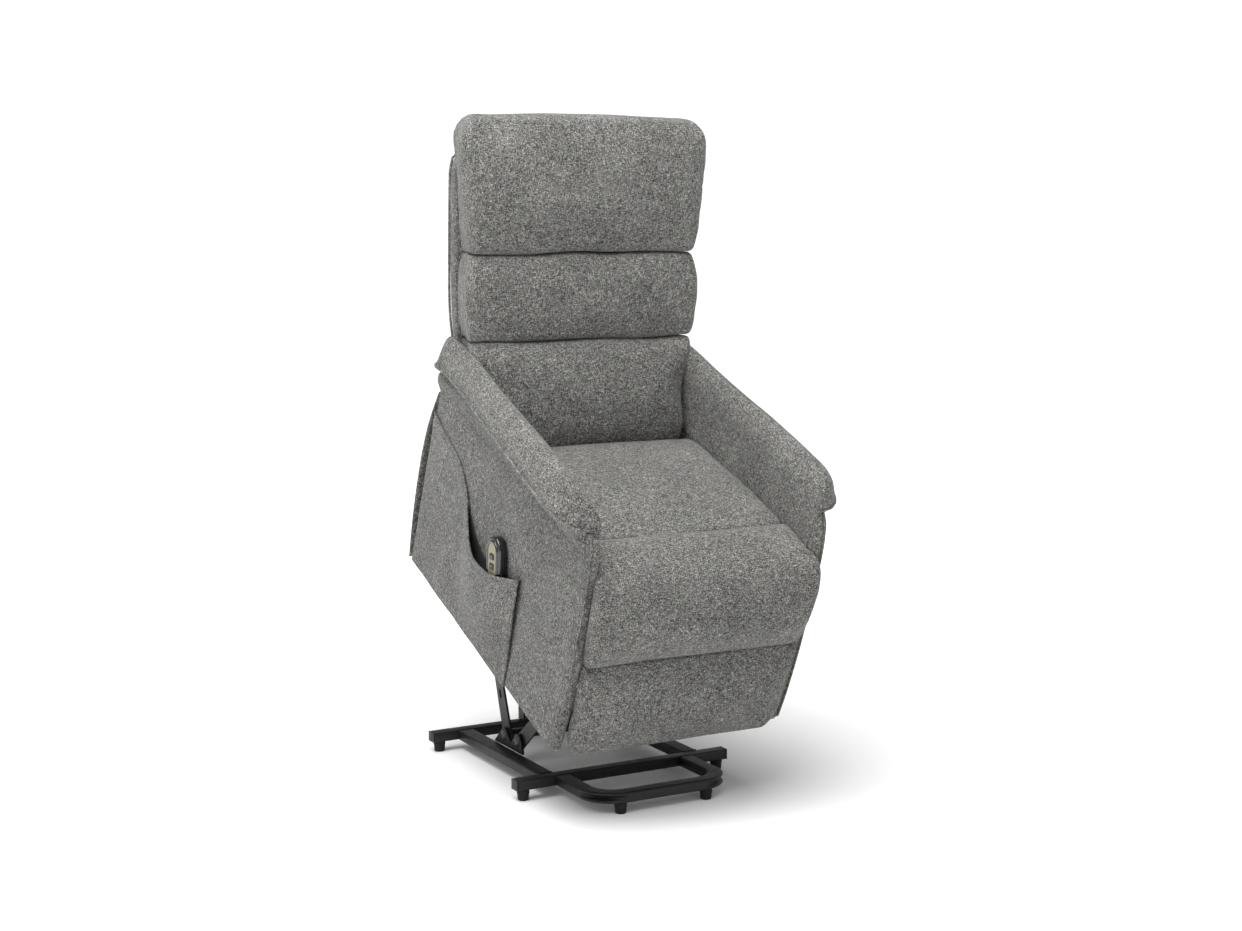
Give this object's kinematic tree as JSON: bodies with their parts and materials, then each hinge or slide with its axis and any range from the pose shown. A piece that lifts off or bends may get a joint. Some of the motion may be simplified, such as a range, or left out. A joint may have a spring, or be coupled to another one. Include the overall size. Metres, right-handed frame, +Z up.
{
  "type": "lift recliner chair",
  "caption": "Upholstered lift recliner chair in its raised pose, on a tubular steel base with a lifting linkage, reclining back, rising footrest and pocket handset.",
  "frame": {"origin": "middle of the floor area that the raised chair covers, on the floor", "axes": "+Z up, the chair faces -Y, +X is the left-hand side of the person sitting; the handset pocket is on -X"},
  "size_m": [0.66, 0.9231, 1.4528],
  "materials": {
    "grey_fabric": "woven chenille, mid grey",
    "dark_lining": "black lining cloth over springs",
    "black_steel": "satin black powder coat",
    "zinc_steel": "zinc plated",
    "black_plastic": "fine matt texture",
    "black_gloss": "moulded, glossy",
    "foot_rubber": "matt black",
    "board_wood": "plain plywood and softwood",
    "handset_face": "khaki, satin"
  },
  "bodies": {
    "base": {"front_cross_bar": "black_steel", "rear_cross_bar": "black_steel", "bar_plug_front_left": "black_plastic", "bar_plug_front_right": "black_plastic", "bar_plug_rear_left": "black_plastic", "bar_plug_rear_right": "black_plastic", "side_rail_left": "black_steel", "side_rail_right": "black_steel", "front_loop": "black_steel", "foot_front_left": "foot_rubber", "foot_front_right": "foot_rubber", "foot_rear_left": "foot_rubber", "foot_rear_right": "foot_rubber", "foot_loop_left": "foot_rubber", "foot_loop_right": "foot_rubber", "base_bracket_left": "black_steel", "base_bracket_right": "black_steel", "link_bolt_left": "zinc_steel", "link_bolt_right": "zinc_steel", "front_bolt_left": "zinc_steel", "front_bolt_right": "zinc_steel", "actuator_bracket": "black_steel"},
    "lower_links": {"lower_link_left": "black_steel", "lower_link_right": "black_steel", "torque_tube": "black_steel"},
    "upper_links": {"upper_link_left": "black_steel", "upper_link_right": "black_steel"},
    "front_links": {"front_link_left": "black_steel", "front_link_right": "black_steel"},
    "actuator_body": {"actuator_tube": "black_plastic"},
    "actuator_slider": {"actuator_rod": "zinc_steel"},
    "chair": {"seat_rail_left": "black_steel", "seat_rail_right": "black_steel", "front_cross_rail": "board_wood", "rear_cross_rail": "board_wood", "spring_deck": "dark_lining", "side_panel_left": "grey_fabric", "side_panel_right": "grey_fabric", "arm_pad_left": "grey_fabric", "arm_pad_right": "grey_fabric", "seat_cushion": "grey_fabric", "side_pocket": "grey_fabric", "rear_skirt": "grey_fabric"},
    "back": {"back_frame": "board_wood", "back_shell": "grey_fabric", "lower_back_cushion": "grey_fabric", "middle_back_cushion": "grey_fabric", "headrest_cushion": "grey_fabric"},
    "footrest": {"footrest_board": "board_wood", "footrest_upper_pad": "grey_fabric", "footrest_lower_pad": "grey_fabric"},
    "footrest_bars": {"footrest_bar_left": "black_steel", "footrest_bar_right": "black_steel"},
    "board_bars": {"board_bar_left": "black_steel", "board_bar_right": "black_steel"},
    "handset": {"handset_case": "black_gloss", "handset_face": "handset_face"},
    "up_button": {"button_up": "black_plastic"},
    "down_button": {"button_down": "black_plastic"}
  },
  "joints": [
    {"name": "lift", "type": "hinge", "parent": "base", "child": "lower_links", "pos_m": [0, 0.1782, 0.07], "axis": [-1, 0, 0], "range_deg": [0, 58.07]},
    {"name": "knee", "type": "hinge", "parent": "lower_links", "child": "upper_links", "pos_m": [0, 0.2485, 0.26314], "axis": [-1, 0, 0], "range_deg": [-122.06, 0]},
    {"name": "seat_tilt", "type": "hinge", "parent": "upper_links", "child": "chair", "pos_m": [0, 0.19844, 0.46249], "axis": [-1, 0, 0], "range_deg": [0, 86.29]},
    {"name": "front_link_swing", "type": "hinge", "parent": "base", "child": "front_links", "pos_m": [0, 0.1112, 0.07], "axis": [-1, 0, 0], "range_deg": [-32.34, 0]},
    {"name": "actuator_swing", "type": "hinge", "parent": "base", "child": "actuator_body", "pos_m": [0, 0.3622, 0.075], "axis": [-1, 0, 0], "range_deg": [0, 18.23]},
    {"name": "actuator_stroke", "type": "slide", "parent": "actuator_body", "child": "actuator_slider", "axis": [0, -0.9488, 0.3158], "range_m": [-0.09254, 0]},
    {"name": "backrest_recline", "type": "hinge", "parent": "chair", "child": "back", "pos_m": [0, 0.24466, 0.8057], "axis": [-1, 0, 0], "range_deg": [0, 32]},
    {"name": "footrest_lift", "type": "hinge", "parent": "chair", "child": "footrest", "pos_m": [0, -0.44901, 0.49418], "axis": [-1, 0, 0], "range_deg": [0, 85]},
    {"name": "footrest_bar_swing", "type": "hinge", "parent": "chair", "child": "footrest_bars", "pos_m": [0, -0.17693, 0.3842], "axis": [-1, 0, 0], "range_deg": [0, 60.87]},
    {"name": "board_bar_swing", "type": "hinge", "parent": "footrest", "child": "board_bars", "pos_m": [0, -0.35532, 0.3975], "axis": [-1, 0, 0], "range_deg": [-128.55, 0]},
    {"name": "handset_out", "type": "slide", "parent": "chair", "child": "handset", "axis": [0, -0.075, 0.9972], "range_m": [0, 0.11]},
    {"name": "up_button_press", "type": "slide", "parent": "handset", "child": "up_button", "axis": [1, 0, 0], "range_m": [0, 0.001], "stiffness_N_per_m": 400, "springref_m": -0.001},
    {"name": "down_button_press", "type": "slide", "parent": "handset", "child": "down_button", "axis": [1, 0, 0], "range_m": [0, 0.001], "stiffness_N_per_m": 400, "springref_m": -0.001}
  ],
  "couplings": [
    {"joint": "knee", "follows": "lift", "ratio": -2.1017},
    {"joint": "seat_tilt", "follows": "lift", "ratio": 1.4857},
    {"joint": "front_link_swing", "follows": "lift", "ratio": -0.55655},
    {"joint": "actuator_swing", "follows": "lift", "ratio": 0.31355},
    {"joint": "actuator_stroke", "follows": "lift", "m_per_rad": -0.091116},
    {"joint": "footrest_bar_swing", "follows": "footrest_lift", "ratio": 0.71586},
    {"joint": "board_bar_swing", "follows": "footrest_lift", "ratio": -1.5122}
  ]
}
